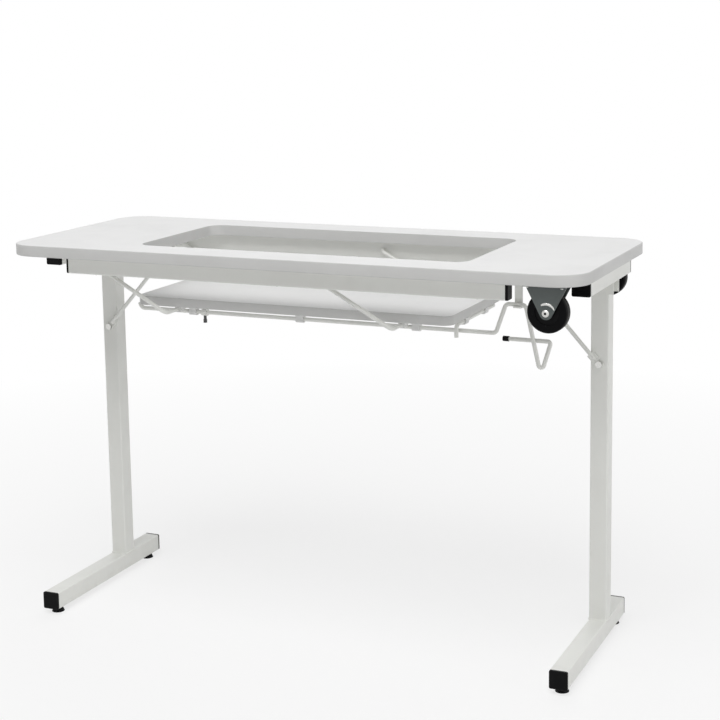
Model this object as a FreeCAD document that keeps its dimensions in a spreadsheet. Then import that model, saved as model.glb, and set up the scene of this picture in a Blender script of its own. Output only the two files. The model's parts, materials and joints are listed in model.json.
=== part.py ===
"""Folding sewing table: a banded top with a machine opening, a platform that hangs
under the opening on two swinging hangers, a latch rod, folding T-legs and two casters.

Lengths are millimetres. The origin is on the floor under the middle of the top,
+X runs along the top, +Y to the back and +Z up.
"""
import FreeCAD, Part
import math
import os
import re

import Sketcher
from FreeCAD import Placement, Rotation, Vector

# Driving sizes, each written once.
SIZES = {
    # Top, its edge bands and the machine opening
    "top_length": 1189.0,
    "top_depth": 470.0,
    "top_height": 775.0,
    "top_thickness": 22.0,
    "top_corner": 60.0,
    "band_thickness": 2.0,
    "band_round": 1.8,
    "opening_x": 8.0,
    "opening_corner": 30.0,
    "opening_band": 1.0,
    # Platform board
    "board_end": 259.5,
    "board_side": 18.5,
    "board_thickness": 18.0,
    "board_gap": 10.0,
    "board_corner": 20.0,
    "board_band_round": 0.8,
    "board_lift": 104.0,
    # Rails under the long edges
    "rail_end": 138.5,
    "rail_left": 12.0,
    "rail_height": 35.0,
    "rail_depth": 25.0,
    "rail_wall": 1.5,
    "rail_setback": 35.0,
    # Square tube of the bearers, columns and feet
    "tube_size": 35.0,
    "tube_wall": 1.5,
    "tube_corner": 3.0,
    "bearer_rear_gap": 1.0,
    "bearer_front_gap": 46.0,
    "bearer_shift": 14.0,
    "leg_inset": 32.0,
    "column_y": 73.5,
    "foot_length": 390.0,
    "foot_forward": 3.75,
    # End caps of the tubes
    "cap_flange": 5.0,
    "cap_plug": 14.0,
    "cap_play": 0.15,
    "cap_round": 1.2,
    # Leg hinges
    "bracket_sheet": 2.0,
    "bracket_width": 54.0,
    "bracket_bend": 3.0,
    "cheek_below_pin": 10.0,
    "hinge_play": 0.5,
    "pin_radius": 4.0,
    "pin_drop": 13.0,
    "pin_offset": 12.0,
    "column_head": 11.4,
    "bolt_head_height": 5.0,
    "bolt_head_radius": 7.5,
    "running_fit": 0.05,
    # Screw-in glides
    "glide_height": 12.0,
    "glide_radius": 13.0,
    "glide_pad": 6.0,
    "glide_inset": 21.0,
    "stem_radius": 4.0,
    "stem_length": 30.0,
    "glide_neck": 10.4,
    "glide_nut_radius": 8.0,
    "glide_nut_height": 6.0,
    # Leg braces
    "brace_radius": 4.0,
    "brace_bend": 8.0,
    "brace_run": 162.0,
    "brace_pivot_drop": 15.0,
    "brace_play": 0.4,
    "brace_plate": 3.0,
    "brace_plate_width": 16.0,
    "brace_plate_length": 34.0,
    "brace_bracket_width": 30.0,
    "brace_ear_gap": 12.0,
    "brace_rod_stop": 12.0,
    "stud_drop": 145.5,
    "stud_radius": 3.0,
    "stud_head_radius": 6.5,
    "stud_head_height": 3.5,
    # Hangers of the platform
    "rod_radius": 4.0,
    "rod_bend": 10.0,
    "arm_bend": 8.0,
    "arm_length": 187.0,
    "arm_play": 0.5,
    "arm_stub": 9.0,
    "arm_tail": 12.0,
    "crossbar_left_inset": 81.0,
    "crossbar_right_inset": 108.0,
    "crossbar_drop": 8.5,
    # Saddles that hold the rods under the board
    "saddle_wall": 2.5,
    "saddle_length": 16.0,
    "saddle_ear": 10.0,
    "saddle_sheet": 3.0,
    "saddle_inset": 32.0,
    # Latch rod, its hook and its fittings
    "latch_inset": 58.0,
    "latch_drop": 18.5,
    "latch_left_reach": 28.0,
    "latch_curl": 11.0,
    "latch_right_reach": 67.0,
    "latch_hump_rise": 56.0,
    "latch_hump_start": 20.0,
    "latch_hump_width": 38.0,
    "latch_handle_drop": 74.0,
    "latch_handle_lean": 29.0,
    "latch_handle_return": 17.0,
    "latch_tip_drop": 11.0,
    "latch_handle_step": 9.0,
    "latch_handle_grip": 92.0,
    "latch_bend": 9.0,
    "latch_tight_bend": 5.0,
    "tip_length": 12.0,
    "tip_wall": 1.0,
    "collar_inset": 123.0,
    "collar_radius": 7.0,
    "collar_length": 12.0,
    "collar_screw_radius": 3.0,
    "collar_screw_head": 4.2,
    "collar_screw_length": 14.0,
    "hook_width": 15.0,
    "hook_sheet": 2.0,
    "hook_bend": 2.0,
    "hook_shift": 4.0,
    "hook_play": 0.3,
    "hook_toe": 2.0,
    "hook_flange": 24.0,
    # Keeper rod under the right end of the board
    "keeper_seat": 1.5,
    "keeper_front": 12.0,
    "keeper_back_inset": 36.0,
    "keeper_drop": 24.0,
    "keeper_clip_inset": 89.0,
    # Casters
    "caster_inset": 71.5,
    "caster_setback": 40.0,
    "axle_drop": 50.0,
    "axle_radius": 4.0,
    "axle_head_radius": 6.5,
    "axle_head_rim": 1.8,
    "axle_head_crown": 4.2,
    "axle_head_dome": 1.8,
    "axle_socket_radius": 2.6,
    "axle_socket_depth": 2.4,
    "wheel_radius": 37.5,
    "wheel_width": 24.0,
    "wheel_round": 6.0,
    "hub_radius": 22.0,
    "hub_width": 20.0,
    "boss_radius": 10.0,
    "hub_seat": 0.1,
    "fork_gap": 29.0,
    "fork_play": 0.4,
    "fork_sheet": 2.5,
    "fork_top_width": 78.0,
    "fork_apex": 26.0,
    "fork_flange": 58.0,
    "fork_boss_radius": 11.0,
    "fork_boss_height": 1.0,
    # Screws
    "screw_radius": 2.0,
    "screw_head_radius": 4.0,
    "screw_head_height": 2.2,
    "screw_bite": 10.0,
    "screw_clearance": 0.3,
    "rail_screw_inset": 56.0,
    "bearer_screw_inset": 25.0,
}

# Sizes that follow from the driving ones, as sheet formulas.
DERIVED = {
    "underside": "top_height - top_thickness",
    "leg_x": "top_length / 2 - leg_inset - tube_size / 2",
    "bearer_x": "leg_x + bearer_shift",
    "rail_y": "top_depth / 2 - rail_setback - rail_depth / 2",
    "rail_inner": "top_depth / 2 - rail_setback - rail_depth",
    "rail_length": "top_length - 2 * rail_end",
    "rail_x": "-rail_left",
    "rail_screw_pitch": "rail_length / 2 - rail_screw_inset",
    "caster_x": "top_length / 2 - caster_inset",
    "caster_y": "top_depth / 2 - caster_setback",
    "bearer_room": "caster_y - fork_flange / 2 - cap_flange",
    "bearer_length": "2 * bearer_room - bearer_rear_gap - bearer_front_gap",
    "bearer_y": "(bearer_front_gap - bearer_rear_gap) / 2",
    "bearer_screw_pitch": "bearer_length / 2 - bearer_screw_inset",
    "arm_y": "rail_inner - arm_play - arm_bend",
    "board_length": "top_length - 2 * board_end",
    "board_width": "2 * (arm_y - rod_radius - board_side)",
    "opening_length": "board_length + 2 * board_gap",
    "opening_width": "board_width + 2 * board_gap",
    "pivot_height": "underside - rail_height / 2",
    "web_under": "underside - tube_size - bracket_sheet",
    "hinge_height": "web_under - pin_drop",
    "hinge_x": "leg_x - pin_offset",
    "stud_height": "hinge_height - stud_drop",
    "foot_y": "-foot_forward",
    "foot_top": "glide_height + tube_size",
    "column_top": "hinge_height + column_head",
    "column_front": "column_y - tube_size / 2",
    "cheek_y": "tube_size / 2 + hinge_play",
    "arm_rise": "top_height - board_thickness - crossbar_drop - pivot_height",
    "arm_fall": "board_lift - arm_rise",
    "arm_reach": "sqrt(arm_length ^ 2 - arm_fall ^ 2)",
    "arm_reach_raised": "sqrt(arm_length ^ 2 - arm_rise ^ 2)",
    "board_x": "opening_x - arm_reach_raised + arm_reach",
    "board_under": "top_height - board_lift - board_thickness",
    "crossbar_height": "board_under - crossbar_drop",
    "crossbar_left": "board_length / 2 - crossbar_left_inset",
    "crossbar_right": "board_length / 2 - crossbar_right_inset",
    "saddle_y": "board_width / 2 - saddle_inset",
    "crossbar_end": "arm_y - rod_bend - arm_tail",
    "latch_y": "latch_inset - board_width / 2",
    "latch_left": "board_length / 2 + latch_left_reach",
    "latch_straight": "board_length / 2 + latch_right_reach",
    "collar_x": "board_length / 2 - collar_inset",
    "latch_height": "board_under - latch_drop",
    "hump_height": "latch_height + latch_hump_rise",
    "hump_left": "board_x + latch_straight + latch_hump_start",
    "hook_x": "hump_left + latch_hump_width / 2 + hook_shift",
    "keeper_x": "board_x + board_length / 2 - rod_radius - saddle_wall",
    "keeper_drop_to": "rod_radius + keeper_seat",
    "keeper_height": "board_under - keeper_drop_to",
    "keeper_back": "board_width / 2 - keeper_back_inset",
    "keeper_clip_y": "board_width / 2 - keeper_clip_inset",
    "brace_y": "column_front - brace_play - brace_radius",
    "brace_pivot_x": "leg_x - brace_run",
    "brace_pivot_height": "underside - brace_pivot_drop",
    "brace_ear_y": "brace_y - brace_bend - brace_play - bracket_sheet",
    "caster_height": "underside - axle_drop",
    "fork_slope": "sqrt((fork_top_width / 2) ^ 2 + (axle_drop + fork_apex) ^ 2)",
    "fork_tip": "fork_apex * fork_top_width / 2 / fork_slope",
    "boss_width": "fork_gap - 2 * fork_play",
    "fork_half": "fork_gap / 2 + fork_sheet + fork_boss_height",
}

X_AXIS = Vector(1, 0, 0)
Y_AXIS = Vector(0, 1, 0)
Z_AXIS = Vector(0, 0, 1)
# Turns that lay a piece drawn along X, or a cylinder drawn along Z, on an axis.
FROM_X = {"x": Rotation(), "y": Rotation(Z_AXIS, 90), "z": Rotation(Y_AXIS, -90)}
FROM_Z = {"x": Rotation(Y_AXIS, 90), "y": Rotation(X_AXIS, -90), "z": Rotation()}
# Width, height and wall of the square tube.
TUBE = ("tube_size", "tube_size", "tube_wall")
# Which way an end cap faces, as a turn about Z.
CAP_TURN = {"+x": 0, "+y": 90, "-x": 180, "-y": -90}
LEFT_AND_RIGHT = (("left", -1), ("right", 1))
FRONT_AND_REAR = (("front", -1), ("rear", 1))
# How far a cutting tool runs past the face that it opens.
OVERCUT = 1.0
# Half size that a sketch is drawn at before its dimensions take hold.
START = 9.0
# Two places or directions closer than these count as one.
SAME_PLACE = 1e-3
SAME_WAY = 1e-6
# The brace hook's slot rises this much for each step back, and its mouth is this much wider.
SLOT_RISE = 3.0
SLOT_FLARE = 2.0

doc = FreeCAD.newDocument("folding_table")
sheet = doc.addObject("Spreadsheet::Sheet", "Sizes")
nodes = {}


def fill_sheet():
    """Write the driving sizes and the formulas that follow from them."""
    cells = {alias: str(number) for alias, number in SIZES.items()}
    cells.update({alias: "=" + text for alias, text in DERIVED.items()})
    for row, (alias, content) in enumerate(cells.items(), start=1):
        sheet.set(f"A{row}", alias)
        sheet.set(f"B{row}", content)
        sheet.setAlias(f"B{row}", alias)
    doc.recompute()


def size(alias):
    """Value of one cell of the sheet."""
    return float(sheet.get(alias))


def formula(text):
    """Point each size's name in a formula at its cell."""
    def cell(match):
        word = match.group()
        return f"Sizes.{word}" if word in SIZES or word in DERIVED else word
    return re.sub(r"[a-z][a-z_]*", cell, str(text))


def place(thing, x, y, z, turn=None):
    """Turn a piece, then tie its place to the sheet."""
    if turn is not None:
        thing.Placement = Placement(Vector(), turn)
    for axis, text in zip("xyz", (x, y, z)):
        thing.setExpression(f"Placement.Base.{axis}", formula(text))
    return thing


def keep(label, thing):
    """Name a finished piece, which becomes a file of its own."""
    thing.Label = label
    nodes[label] = thing
    return thing


# Sketched pieces

def new_body(name, x, y, z, turn=None):
    """Empty body at a place tied to the sheet."""
    body = doc.addObject("PartDesign::Body", name)
    return place(body, x, y, z, turn)


def new_sketch(body, plane, shift):
    """Empty sketch on one of the body's own planes, moved by formulas."""
    sketch = body.newObject("Sketcher::SketchObject", "sketch")
    support = next(item for item in body.Origin.OriginFeatures if item.Role == plane)
    sketch.AttachmentSupport = (support, "")
    sketch.MapMode = "FlatFace"
    for axis, text in zip("xyz", shift):
        sketch.setExpression(f"AttachmentOffset.Base.{axis}", formula(text))
    return sketch


def dimension(sketch, name, constraint, text):
    """Add a named dimension and tie it to the sheet."""
    index = sketch.addConstraint(constraint)
    sketch.renameConstraint(index, name)
    sketch.setExpression(f"Constraints.{name}", formula(text))


def closed_lines(sketch, corners):
    """Draw lines from corner to corner and back to the first."""
    count = len(corners)
    for index in range(count):
        sketch.addGeometry(Part.LineSegment(corners[index], corners[(index + 1) % count]))
    for index in range(count):
        sketch.addConstraint(Sketcher.Constraint("Coincident", index, 2, (index + 1) % count, 1))


def rectangle(body, plane, width, height, shift=(0, 0, 0)):
    """Rectangle centred on the sketch's origin."""
    sketch = new_sketch(body, plane, shift)
    closed_lines(sketch, [Vector(i * START, j * START) for i, j in ((-1, -1), (1, -1), (1, 1), (-1, 1))])
    for line in (0, 2):
        sketch.addConstraint(Sketcher.Constraint("Horizontal", line))
    for line in (1, 3):
        sketch.addConstraint(Sketcher.Constraint("Vertical", line))
    sketch.addConstraint(Sketcher.Constraint("Symmetric", 0, 1, 2, 1, -1, 1))
    dimension(sketch, "width", Sketcher.Constraint("DistanceX", 0, 1, 0, 2, 2 * START), width)
    dimension(sketch, "height", Sketcher.Constraint("DistanceY", 1, 1, 1, 2, 2 * START), height)
    return sketch


def circle(body, plane, radius, shift=(0, 0, 0)):
    """Circle about the sketch's origin."""
    sketch = new_sketch(body, plane, shift)
    sketch.addGeometry(Part.Circle(Vector(), Z_AXIS, START))
    sketch.addConstraint(Sketcher.Constraint("Coincident", 0, 3, -1, 1))
    dimension(sketch, "radius", Sketcher.Constraint("Radius", 0, START), radius)
    return sketch


def wedge(body, plane, top_width, top, apex):
    """Triangle that stands on its apex, below the origin, with a level top above it."""
    sketch = new_sketch(body, plane, (0, 0, 0))
    closed_lines(sketch, [Vector(-START, START), Vector(START, START), Vector(0, -START)])
    sketch.addConstraint(Sketcher.Constraint("Symmetric", 0, 1, 0, 2, -2))
    sketch.addConstraint(Sketcher.Constraint("PointOnObject", 1, 2, -2))
    dimension(sketch, "width", Sketcher.Constraint("DistanceX", 0, 1, 0, 2, 2 * START), top_width)
    dimension(sketch, "top", Sketcher.Constraint("DistanceY", -1, 1, 0, 1, START), top)
    dimension(sketch, "apex", Sketcher.Constraint("DistanceY", 1, 2, -1, 1, START), apex)
    return sketch


def pad(body, sketch, length, symmetric=False, reverse=False):
    """Raise a sketch to a solid."""
    feature = body.newObject("PartDesign::Pad", "pad")
    feature.Profile = sketch
    feature.SideType = "Symmetric" if symmetric else "One side"
    feature.Reversed = reverse
    feature.setExpression("Length", formula(length))
    doc.recompute()
    return feature


def pocket_through(body, sketch):
    """Cut a sketch right through the body, both ways."""
    before = body.Shape.Volume
    feature = body.newObject("PartDesign::Pocket", "pocket")
    feature.Profile = sketch
    feature.SideType = "Symmetric"
    feature.Type = "ThroughAll"
    doc.recompute()
    if not body.Shape.Volume < before:
        raise RuntimeError(f"{body.Name}: a pocket removed nothing")
    return feature


def round_edges(body, feature, chosen, radius):
    """Round the edges of a feature that the test picks."""
    names = [f"Edge{index}" for index, edge in enumerate(feature.Shape.Edges, start=1) if chosen(edge)]
    fillet = body.newObject("PartDesign::Fillet", "fillet")
    fillet.Base = (feature, names)
    fillet.setExpression("Radius", formula(radius))
    doc.recompute()
    return fillet


def runs_along(direction):
    """Test for straight edges in one direction."""
    def test(edge):
        if edge.Curve.TypeId != "Part::GeomLine":
            return False
        return edge.Curve.Direction.cross(direction).Length < SAME_WAY
    return test


def lowest_along(shape, direction):
    """Test for the lowest straight edges of a shape in one direction."""
    along = runs_along(direction)
    ceiling = shape.BoundBox.ZMin + SAME_PLACE
    return lambda edge: along(edge) and edge.BoundBox.ZMax < ceiling


def is_rim(edge):
    """Test for round edges."""
    return edge.Curve.TypeId == "Part::GeomCircle"


def rounded_plate(name, length, width, thickness, corner, x, y, z):
    """Flat board with round corners, standing on its lower face."""
    body = new_body(name, x, y, z)
    blank = pad(body, rectangle(body, "XY_Plane", length, width), thickness)
    round_edges(body, blank, runs_along(Z_AXIS), corner)
    return body


def soften(plate, radius):
    """Round the level edges of a board above and below."""
    round_edges(plate, plate.Tip, lambda edge: edge.BoundBox.ZLength < SAME_PLACE, radius)


def square_tube(name, axis, length, width, height, wall, x, y, z):
    """Rectangular tube with round corners, centred on its place."""
    body = new_body(name, x, y, z, FROM_X[axis])
    outside = pad(body, rectangle(body, "YZ_Plane", width, height), length, symmetric=True)
    round_edges(body, outside, runs_along(X_AXIS), "tube_corner")
    bore = rectangle(body, "YZ_Plane", f"({width}) - 2 * ({wall})", f"({height}) - 2 * ({wall})")
    pocket_through(body, bore)
    return body


def end_cap(name, faces, width, height, wall, x, y, z):
    """Moulded cap: a flange over the tube's end and a plug in its bore."""
    body = new_body(name, x, y, z, Rotation(Z_AXIS, CAP_TURN[faces]))
    flange = pad(body, rectangle(body, "YZ_Plane", width, height), "cap_flange")
    flange = round_edges(body, flange, runs_along(X_AXIS), "tube_corner")
    face = flange.Shape.BoundBox.XMax
    round_edges(body, flange, lambda edge: edge.BoundBox.XMin > face - SAME_PLACE, "cap_round")
    slack = f"2 * ({wall}) + 2 * cap_play"
    plug = rectangle(body, "YZ_Plane", f"({width}) - ({slack})", f"({height}) - ({slack})")
    pad(body, plug, "cap_plug", reverse=True)
    return body


def saddle(name, axis, drop, x, y, ears=2):
    """Moulded saddle under the board: one or two ears, a round nose and a bore for a rod."""
    body = new_body(name, x, y, "board_under", FROM_X[axis])
    tall = f"({drop}) + rod_radius + saddle_wall"
    wide = "2 * (rod_radius + saddle_wall)"
    block = rectangle(body, "YZ_Plane", wide, tall, (0, f"-({tall}) / 2", 0))
    nose = pad(body, block, "saddle_length", symmetric=True)
    round_edges(body, nose, lowest_along(nose.Shape, X_AXIS), "rod_radius")
    aside = f"(2 - {ears}) * saddle_ear / 2"
    ears_at = (aside, "-saddle_sheet / 2", 0)
    foot = rectangle(body, "YZ_Plane", f"{wide} + {ears} * saddle_ear", "saddle_sheet", ears_at)
    pad(body, foot, "saddle_length", symmetric=True)
    pocket_through(body, circle(body, "YZ_Plane", "rod_radius + running_fit", (0, f"-({drop})", 0)))
    return body


# Plain solids and booleans

def cylinder(axis, radius, length, x, y, z):
    """Cylinder from a point along an axis."""
    solid = doc.addObject("Part::Cylinder", "cylinder")
    solid.setExpression("Radius", formula(radius))
    solid.setExpression("Height", formula(length))
    return place(solid, x, y, z, FROM_Z[axis])


def cone(axis, radius_first, radius_last, length, x, y, z):
    """Cone from a point along an axis."""
    solid = doc.addObject("Part::Cone", "cone")
    solid.setExpression("Radius1", formula(radius_first))
    solid.setExpression("Radius2", formula(radius_last))
    solid.setExpression("Height", formula(length))
    return place(solid, x, y, z, FROM_Z[axis])


def hexagon(axis, radius, length, x, y, z):
    """Six-sided bolt head or nut from a point along an axis."""
    solid = doc.addObject("Part::Prism", "hexagon")
    solid.Polygon = 6
    solid.setExpression("Circumradius", formula(radius))
    solid.setExpression("Height", formula(length))
    return place(solid, x, y, z, FROM_Z[axis])


def fuse(name, *solids):
    """Join solids into one."""
    joined = doc.addObject("Part::MultiFuse", name)
    joined.Shapes = list(solids)
    return joined


def cut(name, base, *tools):
    """Take tools away from a base."""
    result = doc.addObject("Part::Cut", name)
    result.Base = base
    result.Tool = tools[0] if len(tools) == 1 else fuse(f"{name}_tools", *tools)
    return result


def group(name, *solids):
    """Identical pieces kept in one node."""
    bundle = doc.addObject("Part::Compound", name)
    bundle.Links = list(solids)
    return bundle


# Bent rod, folded sheet and screws, drawn from the sheet's values

def bent_path(points, bends):
    """Wire of straight runs joined by tangent arcs, one bend radius per inner point."""
    edges = []
    start = points[0]
    for index, bend in enumerate(bends, start=1):
        corner = points[index]
        inward = (points[index - 1] - corner).normalize()
        onward = (points[index + 1] - corner).normalize()
        reach = bend * math.tan((inward * -1).getAngle(onward) / 2)
        first = corner + inward * reach
        last = corner + onward * reach
        middle = corner + (inward + onward).normalize() * (math.hypot(reach, bend) - bend)
        edges.append(Part.LineSegment(start, first).toShape())
        edges.append(Part.Arc(first, middle, last).toShape())
        start = last
    edges.append(Part.LineSegment(start, points[-1]).toShape())
    return Part.Wire(edges)


def new_shape(name, shape):
    """Piece whose solid is drawn from the sheet's values."""
    piece = doc.addObject("Part::Feature", name)
    piece.Shape = shape
    return piece


def bent_rod(points, bends, radius):
    """Round rod along a bent path."""
    section = Part.Wire(Part.Circle(points[0], points[1] - points[0], radius).toShape())
    return bent_path(points, bends).makePipeShell([section], True, False)


def folded_strip(points, bend, across, width, thickness):
    """Sheet strip folded along a path through its middle, its width lying along across."""
    half_width = across * (width / 2)
    half_sheet = (points[1] - points[0]).cross(across).normalize() * (thickness / 2)
    corners = [points[0] + half_width * i + half_sheet * j for i, j in ((-1, -1), (1, -1), (1, 1), (-1, 1))]
    section = Part.makePolygon(corners + corners[:1])
    return bent_path(points, [bend] * (len(points) - 2)).makePipeShell([section], True, False)


def u_bracket(name, x, front_y, rear_y, web_top, bottom, width):
    """Sheet bracket with a level web and two hanging cheeks, given by its outer faces."""
    sheet_thickness = size("bracket_sheet")
    front = front_y + sheet_thickness / 2
    rear = rear_y - sheet_thickness / 2
    web = web_top - sheet_thickness / 2
    path = [Vector(x, front, bottom), Vector(x, front, web), Vector(x, rear, web), Vector(x, rear, bottom)]
    return new_shape(name, folded_strip(path, size("bracket_bend"), X_AXIS, width, sheet_thickness))


def screws(name, heads, bite):
    """Pan-head screws that point up, given by the faces that their heads lie on."""
    solids = []
    for head in heads:
        height = size("screw_head_height")
        crown = Part.makeCone(size("screw_radius"), size("screw_head_radius"), height, head - Z_AXIS * height)
        solids.append(crown.fuse(Part.makeCylinder(size("screw_radius"), bite, head)).removeSplitter())
    return new_shape(name, Part.makeCompound(solids))


# Top and platform board

def build_top():
    """Core board with the machine opening, and the bands on its outer and inner edges."""
    inner_cut = ("opening_length + 2 * opening_band", "opening_width + 2 * opening_band")
    core_size = ("top_length - 2 * band_thickness", "top_depth - 2 * band_thickness")
    at_middle = ("0", "0", "underside")
    at_opening = ("opening_x", "0", "underside")
    deep = "top_thickness"
    core = rounded_plate("top_core", *core_size, deep, "top_corner - band_thickness", *at_middle)
    rim = rounded_plate("top_rim", "top_length", "top_depth", deep, "top_corner", *at_middle)
    soften(rim, "band_round")
    opening = rounded_plate("opening_cut", *inner_cut, deep, "opening_corner + opening_band", *at_opening)
    clear_size = ("opening_length", "opening_width")
    clear = rounded_plate("opening_clear", *clear_size, deep, "opening_corner", *at_opening)
    keep("table_top", cut("top_with_opening", core, opening))
    keep("top_edge_band", cut("outer_band", rim, core))
    keep("opening_edge_band", cut("inner_band", opening, clear))


def build_board():
    """Platform board and its edge band."""
    at_board = ("board_x", "0", "board_under")
    core_size = ("board_length - 2 * opening_band", "board_width - 2 * opening_band")
    deep = "board_thickness"
    core = rounded_plate("board_core", *core_size, deep, "board_corner - opening_band", *at_board)
    rim = rounded_plate("board_rim", "board_length", "board_width", deep, "board_corner", *at_board)
    soften(rim, "board_band_round")
    keep("platform_board", core)
    keep("platform_edge_band", cut("board_band", rim, core))


# Frame under the top

def build_rails():
    """Two long rails with pivot holes in their inner walls, screw holes and end caps."""
    caps = []
    for name, sign in FRONT_AND_REAR:
        middle = ("rail_x", f"{sign} * rail_y", "underside - rail_height / 2")
        section = ("rail_depth", "rail_height", "rail_wall")
        tube = square_tube(f"{name}_rail_tube", "x", "rail_length", *section, *middle)
        hole_start = f"{sign} * (rail_inner + rail_wall / 2) - rail_wall / 2 - {OVERCUT}"
        holes = []
        for crossbar in ("- crossbar_left", "+ crossbar_right"):
            pivot_x = f"board_x {crossbar} - arm_reach"
            bore = ("rod_radius + running_fit", f"rail_wall + 2 * {OVERCUT}")
            holes.append(cylinder("y", *bore, pivot_x, hole_start, "pivot_height"))
        for step in (-1, 0, 1):
            screw_x = f"rail_x + {step} * rail_screw_pitch"
            bore = ("screw_radius + screw_clearance", f"rail_height + 2 * {OVERCUT}")
            holes.append(cylinder("z", *bore, screw_x, middle[1], f"underside - rail_height - {OVERCUT}"))
        keep(f"{name}_rail", cut(f"{name}_rail_drilled", tube, *holes))
        for faces, end in (("-x", -1), ("+x", 1)):
            cap_place = (f"rail_x + {end} * rail_length / 2", middle[1], middle[2])
            caps.append(end_cap(f"{name}_rail_cap", faces, *section, *cap_place))
    keep("rail_end_caps", group("rail_caps", *caps))


def build_bearers():
    """Short cross tubes over the legs, with screw holes and end caps."""
    caps = []
    for name, sign in LEFT_AND_RIGHT:
        middle = (f"{sign} * bearer_x", "bearer_y", "underside - tube_size / 2")
        tube = square_tube(f"{name}_bearer_tube", "y", "bearer_length", *TUBE, *middle)
        holes = []
        for step in (-1, 1):
            screw_y = f"bearer_y + {step} * bearer_screw_pitch"
            bore = ("screw_radius + screw_clearance", f"tube_size + 2 * {OVERCUT}")
            holes.append(cylinder("z", *bore, middle[0], screw_y, f"underside - tube_size - {OVERCUT}"))
        keep(f"{name}_bearer", cut(f"{name}_bearer_drilled", tube, *holes))
        for faces, end in (("-y", -1), ("+y", 1)):
            cap_place = (middle[0], f"bearer_y + {end} * bearer_length / 2", middle[2])
            caps.append(end_cap(f"{name}_bearer_cap", faces, *TUBE, *cap_place))
    keep("bearer_end_caps", group("bearer_caps", *caps))


def build_frame_screws():
    """Long screws up through the rails and bearers into the top."""
    heads = []
    for _, sign in FRONT_AND_REAR:
        for step in (-1, 0, 1):
            x = size("rail_x") + step * size("rail_screw_pitch")
            heads.append(Vector(x, sign * size("rail_y"), size("underside") - size("rail_height")))
    for _, sign in LEFT_AND_RIGHT:
        for step in (-1, 1):
            y = size("bearer_y") + step * size("bearer_screw_pitch")
            heads.append(Vector(sign * size("bearer_x"), y, size("underside") - size("tube_size")))
    keep("frame_screws", screws("long_screws", heads, size("rail_height") + size("screw_bite")))


def build_bracket_screws():
    """Short screws through the caster flanges, brace brackets and hook into the top."""
    heads = []
    flange_x = size("fork_top_width") / 2 - 2 * size("screw_head_radius")
    flange_y = size("fork_flange") / 2 - size("screw_head_radius") - OVERCUT
    level = size("underside") - size("fork_sheet")
    for sign in (-1, 1):
        for i, j in ((-1, -1), (1, -1), (1, 1), (-1, 1)):
            x = size("caster_x") + i * flange_x
            heads.append(Vector(x, sign * size("caster_y") + j * flange_y, level))
        web_y = size("brace_ear_y") - size("brace_ear_gap") / 2
        web_x = sign * size("brace_pivot_x")
        spread = size("brace_bracket_width") / 2 - size("screw_head_radius") - OVERCUT
        for i in (-1, 1):
            heads.append(Vector(web_x + i * spread, web_y, size("underside") - size("bracket_sheet")))
    hook_y = size("latch_y") - size("hook_flange") / 2
    heads.append(Vector(size("hook_x"), hook_y, size("underside") - size("hook_sheet")))
    keep("bracket_screws", screws("short_screws", heads, size("screw_bite") + size("bracket_sheet")))


# Legs, hinges, braces and glides

def build_hinge(name, sign):
    """U bracket under the bearer and the bolt that the column turns on."""
    reach = size("cheek_y") + size("bracket_sheet")
    faces = (size("column_y") - reach, size("column_y") + reach)
    heights = (size("underside") - size("tube_size"), size("hinge_height") - size("cheek_below_pin"))
    folded = u_bracket(f"{name}_hinge_sheet", sign * size("leg_x"), *faces, *heights, size("bracket_width"))
    x = f"{sign} * hinge_x"
    front = "column_y - cheek_y - bracket_sheet"
    rear = "column_y + cheek_y + bracket_sheet"
    width = "2 * (cheek_y + bracket_sheet)"
    through = f"{width} + 2 * {OVERCUT}"
    bore = cylinder("y", "pin_radius + running_fit", through, x, f"{front} - {OVERCUT}", "hinge_height")
    keep(f"{name}_hinge_bracket", cut(f"{name}_hinge_drilled", folded, bore))
    six_sided = ("bolt_head_radius", "bolt_head_height")
    head = hexagon("y", *six_sided, x, f"{front} - bolt_head_height", "hinge_height")
    shank = cylinder("y", "pin_radius", f"{width} + bolt_head_height", x, front, "hinge_height")
    nut = hexagon("y", *six_sided, x, rear, "hinge_height")
    keep(f"{name}_hinge_bolt", fuse(f"{name}_hinge_bolt_solid", head, shank, nut))


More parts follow.
